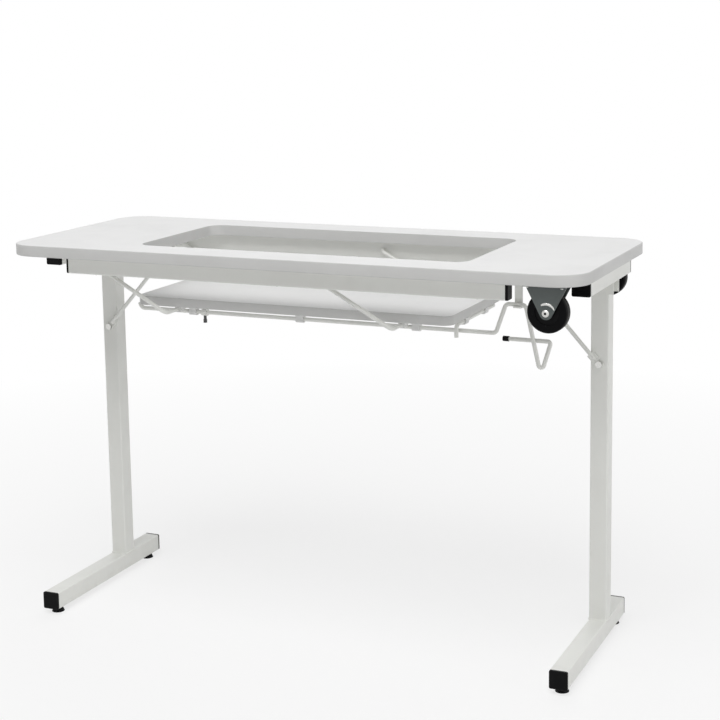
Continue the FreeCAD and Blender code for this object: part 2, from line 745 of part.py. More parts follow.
def build_leg(name, sign):
    """T-leg: column, foot, foot caps, brace stud and the nuts that the glides screw into."""
    x = f"{sign} * leg_x"
    column_place = (x, "column_y", "(foot_top + column_top) / 2")
    tube = square_tube(f"{name}_column_tube", "z", "column_top - foot_top", *TUBE, *column_place)
    through = f"tube_size + 2 * {OVERCUT}"
    start = f"column_front - {OVERCUT}"
    pin_hole = cylinder("y", "pin_radius + running_fit", through, f"{sign} * hinge_x", start, "hinge_height")
    one_wall = f"tube_wall + 2 * {OVERCUT}"
    stud_hole = cylinder("y", "stud_radius + running_fit", one_wall, x, start, "stud_height")
    keep(f"{name}_column", cut(f"{name}_column_drilled", tube, pin_hole, stud_hole))

    foot_place = (x, "foot_y", "glide_height + tube_size / 2")
    foot = square_tube(f"{name}_foot_tube", "y", "foot_length", *TUBE, *foot_place)
    stem_holes = []
    nuts = []
    caps = []
    for faces, end in (("-y", -1), ("+y", 1)):
        y = f"foot_y + {end} * (foot_length / 2 - glide_inset)"
        floor = "glide_height + tube_wall"
        below = f"glide_height - {OVERCUT}"
        stem_holes.append(cylinder("z", "stem_radius + running_fit", one_wall, x, y, below))
        blank = hexagon("z", "glide_nut_radius", "glide_nut_height", x, y, floor)
        thread = cylinder("z", "stem_radius + running_fit", "glide_nut_height", x, y, floor)
        nuts.append(cut(f"{name}_glide_nut", blank, thread))
        cap_place = (x, f"foot_y + {end} * foot_length / 2", foot_place[2])
        caps.append(end_cap(f"{name}_foot_cap", faces, *TUBE, *cap_place))
    keep(f"{name}_foot", cut(f"{name}_foot_drilled", foot, *stem_holes))
    keep(f"{name}_foot_caps", group(f"{name}_caps", *caps))
    keep(f"{name}_glide_nuts", group(f"{name}_nuts", *nuts))

    neck = "2 * brace_play + brace_plate"
    head_face = f"column_front - ({neck})"
    shank = cylinder("y", "stud_radius", f"{neck} + 2 * tube_wall", x, head_face, "stud_height")
    head_place = (x, f"{head_face} - stud_head_height", "stud_height")
    head = cylinder("y", "stud_head_radius", "stud_head_height", *head_place)
    keep(f"{name}_brace_stud", fuse(f"{name}_stud_solid", shank, head))


def build_brace(name, sign):
    """Brace rod: its top end turns in a bracket, its flattened end hooks on the column's stud."""
    x = sign * size("brace_pivot_x")
    height = size("brace_pivot_height")
    rod_y = size("brace_y")
    near_ear = size("brace_ear_y") + size("bracket_sheet")
    far_ear = size("brace_ear_y") - size("brace_ear_gap") - size("bracket_sheet")
    bottom = height - 2 * size("brace_radius")
    faces = (far_ear, near_ear, size("underside"), bottom)
    folded = u_bracket(f"{name}_brace_sheet", x, *faces, size("brace_bracket_width"))
    through = f"brace_ear_gap + 2 * bracket_sheet + 2 * {OVERCUT}"
    start = f"brace_ear_y - brace_ear_gap - bracket_sheet - {OVERCUT}"
    pivot = (f"{sign} * brace_pivot_x", start, "brace_pivot_height")
    bore = cylinder("y", "brace_radius + running_fit", through, *pivot)
    keep(f"{name}_brace_bracket", cut(f"{name}_brace_drilled", folded, bore))

    stud = Vector(sign * size("leg_x"), rod_y, size("stud_height"))
    top = Vector(x, rod_y, height)
    along = (stud - top).normalize()
    upward = along.cross(Y_AXIS) * sign
    flat = size("brace_plate_width") / 2
    rod_end = stud - along * size("brace_rod_stop")
    free_end = Vector(x, far_ear - size("brace_radius"), height)
    rod = bent_rod([free_end, top, rod_end], [size("brace_bend")], size("brace_radius"))

    plate_y = Vector(0, size("column_front") - size("brace_play") - size("brace_plate") - rod_y, 0)
    centre = stud + plate_y
    back = centre - along * (size("brace_plate_length") - flat)
    edges = [
        Part.LineSegment(centre - upward * flat, back - upward * flat).toShape(),
        Part.LineSegment(back - upward * flat, back + upward * flat).toShape(),
        Part.LineSegment(back + upward * flat, centre + upward * flat).toShape(),
        Part.Arc(centre + upward * flat, centre + along * flat, centre - upward * flat).toShape(),
    ]
    plate = Part.Face(Part.Wire(edges)).extrude(Vector(0, size("brace_plate"), 0))
    plate = plate.cut(hook_slot(centre, along, upward))
    keep(f"{name}_brace", new_shape(f"{name}_brace_rod", rod.fuse(plate).removeSplitter()))


def hook_slot(centre, along, upward):
    """Slot that lets the stud leave the flattened end sideways: round at the stud, wider outside."""
    half = size("stud_radius") + size("brace_play")
    way_out = (upward * SLOT_RISE - along).normalize()
    side = Vector(way_out.z, 0, -way_out.x)
    far = centre + way_out * size("brace_plate_width")
    mouth = half * SLOT_FLARE
    outline = [centre - side * half, far - side * mouth, far + side * mouth, centre + side * half]
    wedge_face = Part.Face(Part.makePolygon(outline + outline[:1]))
    through = Vector(0, size("brace_plate") + 2 * OVERCUT, 0)
    start = Vector(0, -OVERCUT, 0)
    throat = wedge_face.translated(start).extrude(through)
    eye = Part.makeCylinder(half, through.y, centre + start, Y_AXIS)
    return throat.fuse(eye)


def build_glide(name, side, sign, end):
    """Screw-in glide: a tapered pad, a lock nut and a threaded stem."""
    x = f"{sign} * leg_x"
    y = f"foot_y + {end} * (foot_length / 2 - glide_inset)"
    pad_solid = cone("z", "glide_radius", "glide_neck", "glide_pad", x, y, "0")
    nut = hexagon("z", "glide_nut_radius", "glide_height - glide_pad - 2 * hinge_play", x, y, "glide_pad")
    stem = cylinder("z", "stem_radius", "stem_length", x, y, "glide_pad")
    keep(f"{name}_{side}_glide", fuse(f"{name}_{side}_glide_solid", pad_solid, nut, stem))


# Hangers, saddles, latch and keeper

def build_hanger(name, side):
    """Hanger of bent rod: two arms that turn in the rails, and the crossbar under the board."""
    bar_x = size("board_x") + side * size(f"crossbar_{name}")
    pivot_x = bar_x - size("arm_reach")
    for end, sign in FRONT_AND_REAR:
        points = [
            Vector(pivot_x, sign * (size("rail_inner") + size("arm_stub")), size("pivot_height")),
            Vector(pivot_x, sign * size("arm_y"), size("pivot_height")),
            Vector(bar_x, sign * size("arm_y"), size("crossbar_height")),
            Vector(bar_x, sign * size("crossbar_end"), size("crossbar_height")),
        ]
        arm = bent_rod(points, [size("arm_bend"), size("rod_bend")], size("rod_radius"))
        keep(f"{name}_{end}_arm", new_shape(f"{name}_{end}_arm_rod", arm))
    bar_place = (f"board_x + {side} * crossbar_{name}", "-crossbar_end", "crossbar_height")
    keep(f"{name}_crossbar", cylinder("y", "rod_radius", "2 * crossbar_end", *bar_place))


def build_saddles():
    """Saddles for the crossbars, the latch rod and the keeper, and the screws in their ears."""
    crossbar_x = ("board_x - crossbar_left", "board_x + crossbar_right")
    beside = "saddle_length / 2 + rod_radius + 2 * saddle_wall"
    latch_x = (f"{crossbar_x[0]} + {beside}", "board_x", f"{crossbar_x[1]} + {beside}")
    bars = [saddle("crossbar_saddle", "y", "crossbar_drop", x, f"{end} * saddle_y")
            for x in crossbar_x for end in (-1, 1)]
    rods = [saddle("latch_saddle", "x", "latch_drop", x, "latch_y") for x in latch_x]
    clips = [saddle("keeper_clip", "y", "keeper_drop_to", "keeper_x", f"{end} * keeper_clip_y", ears=1)
             for end in (-1, 1)]
    keep("crossbar_saddles", group("crossbar_saddle_set", *bars))
    keep("latch_saddles", group("latch_saddle_set", *rods))
    keep("keeper_clips", group("keeper_clip_set", *clips))
    doc.recompute()
    heads = []
    ear = size("rod_radius") + size("saddle_wall") + size("saddle_ear") / 2
    for piece in bars + rods + clips:
        middle = piece.Placement.Base - Z_AXIS * size("saddle_sheet")
        sideways = piece.Placement.Rotation.multVec(Y_AXIS) * ear
        heads += [middle + sideways] if piece in clips else [middle + sideways, middle - sideways]
    keep("platform_screws", screws("ear_screws", heads, size("screw_bite") + size("saddle_sheet")))


def build_latch():
    """Latch rod with its hump and folded handle, the rubber tip, and the collar with its screw."""
    y = size("latch_y")
    level = size("latch_height")
    left = size("board_x") - size("latch_left")
    right = size("board_x") + size("latch_straight")
    hump_left = size("hump_left")
    hump_right = hump_left + size("latch_hump_width")
    hump = size("hump_height")
    elbow = hump_right + size("latch_handle_lean")
    grip_right = elbow + size("latch_handle_return")
    grip_y = y + size("latch_handle_step")
    grip_level = level - size("latch_tip_drop")
    grip_left = grip_right - size("latch_handle_grip")
    points = [
        Vector(left, y, level + size("latch_curl")),
        Vector(left + size("latch_curl") / 2, y, level),
        Vector(right, y, level),
        Vector(hump_left, y, hump),
        Vector(hump_right, y, hump),
        Vector(elbow, y, level - size("latch_handle_drop")),
        Vector(grip_right, grip_y, grip_level),
        Vector(grip_left, grip_y, grip_level),
    ]
    bends = [size("latch_bend")] * 4 + [size("latch_tight_bend")] * 2
    keep("latch_rod", new_shape("latch_rod_solid", bent_rod(points, bends, size("rod_radius"))))

    tip_place = Vector(grip_left - size("tip_wall"), grip_y, grip_level)
    sleeve = Part.makeCylinder(size("rod_radius") + size("tip_wall"), size("tip_length"), tip_place, X_AXIS)
    rim = [edge for edge in sleeve.Edges if is_rim(edge) and edge.BoundBox.XMax < tip_place.x + OVERCUT / 2]
    sleeve = sleeve.makeFillet(size("tip_wall"), rim)
    rod_end = Vector(grip_left, grip_y, grip_level)
    bore = size("rod_radius") + size("running_fit")
    socket = Part.makeCylinder(bore, size("tip_length"), rod_end, X_AXIS)
    keep("latch_tip", new_shape("latch_tip_solid", sleeve.cut(socket)))

    x = "board_x - collar_x"
    collar_place = (f"{x} - collar_length / 2", "latch_y", "latch_height")
    ring = cylinder("x", "collar_radius", "collar_length", *collar_place)
    bore = cylinder("x", "rod_radius + running_fit", "collar_length", *collar_place)
    below = "latch_height - rod_radius - collar_radius"
    hole = cylinder("z", "collar_screw_radius + running_fit", "collar_radius", x, "latch_y", below)
    keep("latch_collar", cut("latch_collar_ring", ring, bore, hole))
    tail = "latch_height - collar_radius - collar_screw_length"
    reach = "collar_screw_length + collar_radius - rod_radius - running_fit"
    shank = cylinder("z", "collar_screw_radius", reach, x, "latch_y", tail)
    head = hexagon("z", "collar_screw_head", "collar_screw_length / 2", x, "latch_y", tail)
    keep("latch_collar_screw", fuse("collar_screw_solid", shank, head))


def build_hook():
    """Hook of folded sheet: flange under the top, a hanging web, and a lip with a low toe."""
    x = size("hook_x")
    sheet_thickness = size("hook_sheet")
    seat = size("rod_radius") + size("hook_play")
    web_y = size("latch_y") + seat + sheet_thickness / 2
    toe_y = size("latch_y") - seat - sheet_thickness / 2
    flange_z = size("underside") - sheet_thickness / 2
    lip_z = size("hump_height") - seat - sheet_thickness / 2
    points = [
        Vector(x, web_y - size("hook_flange"), flange_z),
        Vector(x, web_y, flange_z),
        Vector(x, web_y, lip_z),
        Vector(x, toe_y, lip_z),
        Vector(x, toe_y, size("hump_height") - seat + size("hook_toe")),
    ]
    strip = folded_strip(points, size("hook_bend"), X_AXIS, size("hook_width"), sheet_thickness)
    keep("latch_hook", new_shape("latch_hook_strip", strip))


def build_keeper():
    """Keeper rod under the right end of the board, its front end bent down before the latch rod."""
    x = size("keeper_x")
    front = size("latch_y") - size("keeper_front")
    level = size("keeper_height")
    points = [
        Vector(x, front, level - size("keeper_drop")),
        Vector(x, front, level),
        Vector(x, size("keeper_back"), level),
    ]
    rod = bent_rod(points, [size("rod_bend")], size("rod_radius"))
    keep("keeper_rod", new_shape("keeper_rod_solid", rod))


# Casters

def build_casters():
    """Fixed casters: fork with tapered cheeks, wheel with hub, axle bolt and nut."""
    axles = []
    nuts = []
    for name, sign in FRONT_AND_REAR:
        y = f"{sign} * caster_y"
        keep(f"{name}_caster_fork", caster_fork(f"{name}_fork", y))
        keep(f"{name}_caster_tyre", caster_tyre(f"{name}_tyre", y))
        keep(f"{name}_caster_hub", caster_hub(f"{name}_hub", y))
        axles.append(axle_bolt(f"{name}_axle", y))
        nut_place = ("caster_x", f"{y} + fork_half", "caster_height")
        blank = hexagon("y", "bolt_head_radius", "bolt_head_height", *nut_place)
        thread = cylinder("y", "axle_radius + running_fit", "bolt_head_height", *nut_place)
        nuts.append(cut(f"{name}_axle_nut", blank, thread))
    keep("caster_axles", group("axle_set", *axles))
    keep("caster_nuts", group("axle_nut_set", *nuts))


def axle_bolt(name, y):
    """Axle bolt: a shank through the fork and a domed head with a six-sided socket."""
    cheek = f"{y} - fork_half"
    rim = f"{cheek} - axle_head_rim"
    crown = f"{rim} - axle_head_dome"
    plate = cylinder("y", "axle_head_radius", "axle_head_rim", "caster_x", rim, "caster_height")
    dome_place = ("caster_x", crown, "caster_height")
    dome = cone("y", "axle_head_crown", "axle_head_radius", "axle_head_dome", *dome_place)
    length = "2 * fork_half + 2 * bolt_head_height"
    shank = cylinder("y", "axle_radius", length, "caster_x", cheek, "caster_height")
    socket = hexagon("y", "axle_socket_radius", "axle_socket_depth", *dome_place)
    return cut(name, fuse(f"{name}_solid", plate, dome, shank), socket)


def caster_fork(name, y):
    """Pressed fork: wedge-shaped cheeks under a flange, round about the axle with a raised boss."""
    body = new_body(name, "caster_x", y, "caster_height")
    outline = wedge(body, "XZ_Plane", "fork_top_width", "axle_drop", "fork_apex")
    blank = pad(body, outline, "fork_gap + 2 * fork_sheet", symmetric=True)
    round_edges(body, blank, lowest_along(blank.Shape, Y_AXIS), "fork_tip")
    pad(body, circle(body, "XZ_Plane", "fork_boss_radius"), "2 * fork_half", symmetric=True)
    tall = "2 * (axle_drop - fork_sheet)"
    pocket_through(body, rectangle(body, "YZ_Plane", "fork_gap", tall))
    flange = rectangle(body, "XY_Plane", "fork_top_width", "fork_flange", (0, 0, "axle_drop - fork_sheet"))
    pad(body, flange, "fork_sheet")
    pocket_through(body, circle(body, "XZ_Plane", "axle_radius + running_fit"))
    return body


def caster_tyre(name, y):
    """Wheel rim with round shoulders and a bore for the hub."""
    body = new_body(name, "caster_x", y, "caster_height")
    blank = pad(body, circle(body, "XZ_Plane", "wheel_radius"), "wheel_width", symmetric=True)
    round_edges(body, blank, is_rim, "wheel_round")
    pocket_through(body, circle(body, "XZ_Plane", "hub_radius"))
    return body


def caster_hub(name, y):
    """Hub disc with a boss as long as the fork is wide, bored for the axle."""
    body = new_body(name, "caster_x", y, "caster_height")
    pad(body, circle(body, "XZ_Plane", "hub_radius - hub_seat"), "hub_width", symmetric=True)
    pad(body, circle(body, "XZ_Plane", "boss_radius"), "boss_width", symmetric=True)
    pocket_through(body, circle(body, "XZ_Plane", "axle_radius + running_fit"))
    return body


def check_document():
    """Stop if any object failed, or any piece is null or not valid."""
    doc.recompute()
    failed = [item.Label for item in doc.Objects if {"Invalid", "Error"} & set(item.State)]
    if failed:
        raise RuntimeError(f"failed objects: {failed}")
    for label, piece in nodes.items():
        if piece.Shape.isNull() or not piece.Shape.isValid() or not piece.Shape.Solids:
            raise RuntimeError(f"{label}: no valid solid")


def build():
    """Make every piece, test the document and write one file per piece."""
    fill_sheet()
    build_top()
    build_board()
    build_rails()
    build_bearers()
    build_frame_screws()
    build_bracket_screws()
    for name, sign in LEFT_AND_RIGHT:
        build_hinge(name, sign)
        build_leg(name, sign)
        build_brace(name, sign)
        for side, end in FRONT_AND_REAR:
            build_glide(name, side, sign, end)
        build_hanger(name, sign)
    build_saddles()
    build_latch()
    build_hook()
    build_keeper()
    build_casters()
    check_document()
    os.makedirs("parts", exist_ok=True)
    for label, piece in nodes.items():
        piece.Shape.exportStep(f"parts/{label}.step")
        print(f"{label}: {len(piece.Shape.Solids)} solids, {piece.Shape.Volume:.0f} mm3")


build()
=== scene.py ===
"""Studio scene of a folding sewing table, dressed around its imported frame.

Lengths are metres in the frame's own axes: +X along the top, +Y to the back, +Z up.
"""
import json
import logging
import math
from dataclasses import dataclass, field
from enum import Enum
from typing import Sequence

import bpy
import numpy as np
from mathutils import Matrix, Vector


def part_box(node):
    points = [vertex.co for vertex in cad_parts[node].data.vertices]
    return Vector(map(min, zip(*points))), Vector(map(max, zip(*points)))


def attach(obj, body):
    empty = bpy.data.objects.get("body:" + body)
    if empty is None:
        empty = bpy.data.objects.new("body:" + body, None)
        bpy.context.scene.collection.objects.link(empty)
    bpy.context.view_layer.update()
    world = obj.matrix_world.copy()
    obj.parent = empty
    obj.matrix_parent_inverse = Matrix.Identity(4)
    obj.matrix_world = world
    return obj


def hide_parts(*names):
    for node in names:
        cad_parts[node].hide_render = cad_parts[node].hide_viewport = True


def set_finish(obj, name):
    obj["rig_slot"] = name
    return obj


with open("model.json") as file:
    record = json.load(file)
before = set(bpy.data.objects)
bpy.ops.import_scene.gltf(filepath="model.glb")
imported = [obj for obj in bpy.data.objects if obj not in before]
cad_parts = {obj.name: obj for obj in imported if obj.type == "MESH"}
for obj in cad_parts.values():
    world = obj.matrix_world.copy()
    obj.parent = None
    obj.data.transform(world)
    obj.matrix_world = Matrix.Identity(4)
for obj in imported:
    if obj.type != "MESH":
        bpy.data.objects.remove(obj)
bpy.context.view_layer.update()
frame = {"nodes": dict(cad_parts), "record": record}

LOG = logging.getLogger("sewing_table")
MM = 0.001
QUARTER_TURN = math.pi / 2
FULL_TURN = 2 * math.pi
WHITE = (1.0, 1.0, 1.0, 1.0)
Pair = tuple[float, float]
Triple = tuple[float, float, float]
Array = np.ndarray
Node = bpy.types.Node
Piece = bpy.types.Object
Socket = bpy.types.NodeSocket


class Body(Enum):
    """Bodies of the frame that new pieces ride on."""

    FRAME = "frame"
    PLATFORM = "platform"
    LEFT_LEG = "left_leg"
    RIGHT_LEG = "right_leg"


class Side(Enum):
    """Ends of the table, each with a leg."""

    LEFT = "left"
    RIGHT = "right"


class Face(Enum):
    """Front and rear, of the table or of one caster's fork."""

    FRONT = "front"
    REAR = "rear"

    @property
    def sign(self) -> int:
        """Sign of Y on this face."""
        return -1 if self is Face.FRONT else 1


class Operation(Enum):
    """What the shader graphs do with two values."""

    ADD = "ADD"
    SUBTRACT = "SUBTRACT"
    MULTIPLY = "MULTIPLY"
    DIVIDE = "DIVIDE"


class Slot(Enum):
    """Finishes by name: the record's material slots, and a dark steel for one small screw."""

    LAMINATE = "white_laminate"
    BAND = "edge_band"
    STEEL = "white_steel"
    WHITE_PLASTIC = "white_plastic"
    BLACK_PLASTIC = "black_plastic"
    WHEEL = "wheel_black"
    FORK = "fork_steel"
    ZINC = "zinc_steel"
    RUBBER = "tip_rubber"
    DARK_STEEL = "dark_steel"


# Shader graphs


class Graph:
    """Short hand for building a node tree."""

    def __init__(self, tree: bpy.types.NodeTree) -> None:
        """Keep the tree that nodes are added to."""
        self.tree = tree

    def node(self, kind: str, inputs: dict | None = None, **settings: object) -> Node:
        """Add a node, set its properties, and fill or link its inputs.

        Args:
            kind: Blender's name of the node type.
            inputs: Values or output sockets, by the input's name or index.
            settings: Properties of the node itself.

        Returns:
            The new node.
        """
        node = self.tree.nodes.new(kind)
        for name, value in settings.items():
            setattr(node, name, value)
        for key, value in (inputs or {}).items():
            self.fill(node.inputs[key], value)
        return node

    def fill(self, socket: Socket, value: object) -> None:
        """Give an input its value, or link it.

        Args:
            socket: The input.
            value: A plain value, or the output socket to link.
        """
        if isinstance(value, bpy.types.NodeSocket):
            self.tree.links.new(value, socket)
        else:
            socket.default_value = value

    def math(self, operation: Operation, first: object, second: object, clamp: bool = False) -> Socket:
        """Combine two values and return the result's socket."""
        inputs = {0: first, 1: second}
        return self.node("ShaderNodeMath", inputs, operation=operation.value, use_clamp=clamp).outputs[0]

    def spread(self, value: object, source: Pair, target: Pair = (0.0, 1.0)) -> Socket:
        """Map a value from one range to another, held at the ends."""
        ends = {"From Min": source[0], "From Max": source[1], "To Min": target[0], "To Max": target[1]}
        return self.node("ShaderNodeMapRange", {"Value": value, **ends}).outputs["Result"]

    def blend(self, share: object, first: Triple | Socket, second: Triple | Socket) -> Socket:
        """Mix two colours.

        Args:
            share: How much of the second colour shows.
            first: Colour or socket.
            second: Colour or socket.

        Returns:
            The mixed colour's socket.
        """
        mix = self.node("ShaderNodeMix", {"Factor": share}, data_type="RGBA")
        colours = [socket for socket in mix.inputs if socket.type == "RGBA"]
        for socket, value in zip(colours, (first, second)):
            self.fill(socket, (*value, 1.0) if isinstance(value, tuple) else value)
        return next(socket for socket in mix.outputs if socket.type == "RGBA")

    def length(self, vector: Socket) -> Socket:
        """Length of a vector."""
        return self.node("ShaderNodeVectorMath", {0: vector}, operation="LENGTH").outputs["Value"]


def new_material(name: str) -> tuple[bpy.types.Material, Graph]:
    """Start a material.

    Args:
        name: The material's name.

    Returns:
        The material and its empty graph.
    """
    made = bpy.data.materials.new(name)
    made.use_nodes = True
    made.node_tree.nodes.clear()
    return made, Graph(made.node_tree)


def new_group(name: str, values: dict[str, float], outputs: Sequence[str]) -> tuple[Graph, Node, Node]:
    """Start a shader node group that is given a place.

    Args:
        name: The group's name.
        values: Default value of each further input, by name.
        outputs: Names of the value outputs.

    Returns:
        The group's graph, its input node and its output node.
    """
    tree = bpy.data.node_groups.new(name, "ShaderNodeTree")
    tree.interface.new_socket("Vector", in_out="INPUT", socket_type="NodeSocketVector")
    for label, value in values.items():
        socket = tree.interface.new_socket(label, in_out="INPUT", socket_type="NodeSocketFloat")
        socket.default_value = value
    for label in outputs:
        tree.interface.new_socket(label, in_out="OUTPUT", socket_type="NodeSocketFloat")
    graph = Graph(tree)
    return graph, graph.node("NodeGroupInput"), graph.node("NodeGroupOutput")


@dataclass(frozen=True)
class SurfaceRelief:
    """Masks that the finishes share: fine grain, broad smudges and flecks.

    Attributes:
        grain_scale: Repeats of the grain per metre, where a finish sets none.
        smudge_scale: Repeats of the smudges per metre.
        fleck_share: Flecks for each repeat of the grain.
        grain_range: Noise levels that become no grain and full grain.
        smudge_range: Noise levels that become no smudge and full smudge.
        fleck_reach: Distance from a cell's middle where its fleck is gone.
    """

    grain_scale: float = 600.0
    smudge_scale: float = 9.0
    fleck_share: float = 0.35
    grain_range: Pair = (0.25, 0.75)
    smudge_range: Pair = (0.45, 0.72)
    fleck_reach: float = 0.25

    def group(self) -> bpy.types.NodeTree:
        """Grain is a small noise, smudges are a wide noise, and flecks are the near parts of cells.

        Returns:
            The node group, with its three masks as outputs.
        """
        scales = {"Grain Scale": self.grain_scale, "Smudge Scale": self.smudge_scale}
        graph, given, result = new_group("surface_relief", scales, ("Grain", "Smudge", "Fleck"))
        place, scale = given.outputs["Vector"], given.outputs["Grain Scale"]
        grain = graph.node("ShaderNodeTexNoise", {
            "Vector": place, "Scale": scale, "Detail": 3.0, "Roughness": 0.55})
        smudge = graph.node("ShaderNodeTexNoise", {
            "Vector": place, "Scale": given.outputs["Smudge Scale"],
            "Detail": 5.0, "Roughness": 0.6, "Distortion": 0.4})
        fleck = graph.node("ShaderNodeTexVoronoi", {
            "Vector": place, "Scale": graph.math(Operation.MULTIPLY, scale, self.fleck_share)})
        masks = {
            "Grain": graph.spread(grain.outputs[0], self.grain_range),
            "Smudge": graph.spread(smudge.outputs[0], self.smudge_range),
            "Fleck": graph.spread(fleck.outputs["Distance"], (0.0, self.fleck_reach), (1.0, 0.0)),
        }
        for name, mask in masks.items():
            graph.fill(result.inputs[name], mask)
        return graph.tree


@dataclass(frozen=True)
class FloorDust:
    """Mask of the dust that settles near the floor.

    Attributes:
        reach: Height where the dust is gone.
        cloud_scale: Repeats of its noise per metre.
        cloud_range: Noise levels that become thin and full dust.
        thin: Share of the dust that is left where it is thin.
    """

    reach: float = 0.05
    cloud_scale: float = 60.0
    cloud_range: Pair = (0.3, 0.7)
    thin: float = 0.2

    def group(self) -> bpy.types.NodeTree:
        """The dust is full at the floor and falls evenly with the height, broken up by a noise.

        Returns:
            The node group, with the dust's mask as output.
        """
        graph, given, result = new_group("floor_dust", {"Reach": self.reach}, ("Dust",))
        place = given.outputs["Vector"]
        height = graph.node("ShaderNodeSeparateXYZ", {0: place}).outputs["Z"]
        risen = graph.math(Operation.DIVIDE, height, given.outputs["Reach"])
        falling = graph.math(Operation.SUBTRACT, 1.0, risen, clamp=True)
        cloud = graph.node("ShaderNodeTexNoise", {
            "Vector": place, "Scale": self.cloud_scale, "Detail": 4.0})
        broken = graph.spread(cloud.outputs[0], self.cloud_range, (self.thin, 1.0))
        graph.fill(result.inputs["Dust"], graph.math(Operation.MULTIPLY, falling, broken))
        return graph.tree


RELIEF = SurfaceRelief().group()
DUST = FloorDust().group()


# Finishes


@dataclass(frozen=True)
class Finish:
    """A procedural finish: colours, gloss and relief of one material.

    Attributes:
        slot: The finish's name.
        base: Main colour.
        soiled: Colour that smudges lean to.
        soil: How far smudges go towards the soiled colour.
        gloss: Roughness of clean surface.
        dull: Roughness where it is handled.
        grain_scale: Repeats of the fine relief per metre.
        relief: Depth of the fine relief.
        metallic: One for bare metal.
        coat: Weight of a clear layer on top.
        shine: Strength of the plain reflection, a half for common paint.
    """

    slot: Slot
    base: Triple
    soiled: Triple
    soil: float
    gloss: float
    dull: float
    grain_scale: float
    relief: float
    metallic: float = 0.0
    coat: float = 0.0
    shine: float = 0.5

    def material(self) -> bpy.types.Material:
        """Build the material from the finish's values.

        Returns:
            The new material, named after the slot.
        """
        made, graph = new_material(self.slot.value)
        place = graph.node("ShaderNodeTexCoord").outputs["Object"]
        masks = graph.node("ShaderNodeGroup", node_tree=RELIEF)
        graph.fill(masks.inputs["Vector"], place)
        graph.fill(masks.inputs["Grain Scale"], self.grain_scale)
        bump = graph.node("ShaderNodeBump", {
            "Height": self.height(graph, place, masks), "Strength": 1.0, "Distance": self.relief})
        shader = graph.node("ShaderNodeBsdfPrincipled", {
            "Base Color": self.colour(graph, place, masks),
            "Roughness": self.roughness(graph, place, masks),
            "Metallic": self.metallic, "Coat Weight": self.coat,
            "Specular IOR Level": self.shine, "Normal": bump.outputs[0]})
        graph.node("ShaderNodeOutputMaterial", {"Surface": shader.outputs[0]})
        return made

    def colour(self, graph: Graph, place: Socket, masks: Node) -> Socket:
        """Base colour that smudges shade."""
        share = graph.math(Operation.MULTIPLY, masks.outputs["Smudge"], self.soil)
        return graph.blend(share, self.base, self.soiled)

    def roughness(self, graph: Graph, place: Socket, masks: Node) -> Socket:
        """Roughness between clean and handled."""
        return graph.spread(masks.outputs["Smudge"], (0.0, 1.0), (self.gloss, self.dull))

    def height(self, graph: Graph, place: Socket, masks: Node) -> Socket:
        """Height of the fine relief."""
        return masks.outputs["Grain"]


@dataclass(frozen=True)
class Laminate(Finish):
    """Melamine board: pebbled relief with faint flecks.

    Attributes:
        flecks: How far the flecks go towards the soiled colour.
    """

    flecks: float = 0.12

    def colour(self, graph: Graph, place: Socket, masks: Node) -> Socket:
        """Base colour with smudges and the flecks of the print."""
        share = graph.math(Operation.MULTIPLY, masks.outputs["Fleck"], self.flecks)
        return graph.blend(share, super().colour(graph, place, masks), self.soiled)


@dataclass(frozen=True)
class PowderCoat(Finish):
    """Stoved powder coat: soft orange peel, dust near the floor.

    Attributes:
        dust: Colour of the dust.
        dusty: How far the dust hides the paint at the floor.
    """

    dust: Triple = (0.50, 0.48, 0.45)
    dusty: float = 0.25

    def colour(self, graph: Graph, place: Socket, masks: Node) -> Socket:
        """Base colour with smudges, greyed by floor dust.

        Args:
            graph: The material's graph.
            place: Object coordinates.
            masks: The shared relief group.

        Returns:
            The colour's socket.
        """
        dust = graph.node("ShaderNodeGroup", node_tree=DUST)
        graph.fill(dust.inputs["Vector"], place)
        share = graph.math(Operation.MULTIPLY, dust.outputs["Dust"], self.dusty)
        return graph.blend(share, super().colour(graph, place, masks), self.dust)


@dataclass(frozen=True)
class EdgeBand(Finish):
    """Extruded band: fine draw lines that run level round the edge.

    Attributes:
        lines: Draw lines per metre of height.
        breaks: Changes of a line per metre of its length.
        grain_share: Strength of the plain grain beside the lines.
    """

    lines: float = 1400.0
    breaks: float = 6.0
    grain_share: float = 0.3

    def height(self, graph: Graph, place: Socket, masks: Node) -> Socket:
        """Height of the draw lines, a noise stretched along the level directions.

        Args:
            graph: The material's graph.
            place: Object coordinates.
            masks: The shared relief group.

        Returns:
            The height's socket.
        """
        scale = (self.breaks, self.breaks, self.lines)
        stretched = graph.node("ShaderNodeMapping", {"Vector": place, "Scale": scale}).outputs[0]
        drawn = graph.node("ShaderNodeTexNoise", {"Vector": stretched, "Scale": 1.0, "Detail": 2.0})
        grain = graph.math(Operation.MULTIPLY, masks.outputs["Grain"], self.grain_share)
        return graph.math(Operation.ADD, drawn.outputs[0], grain)


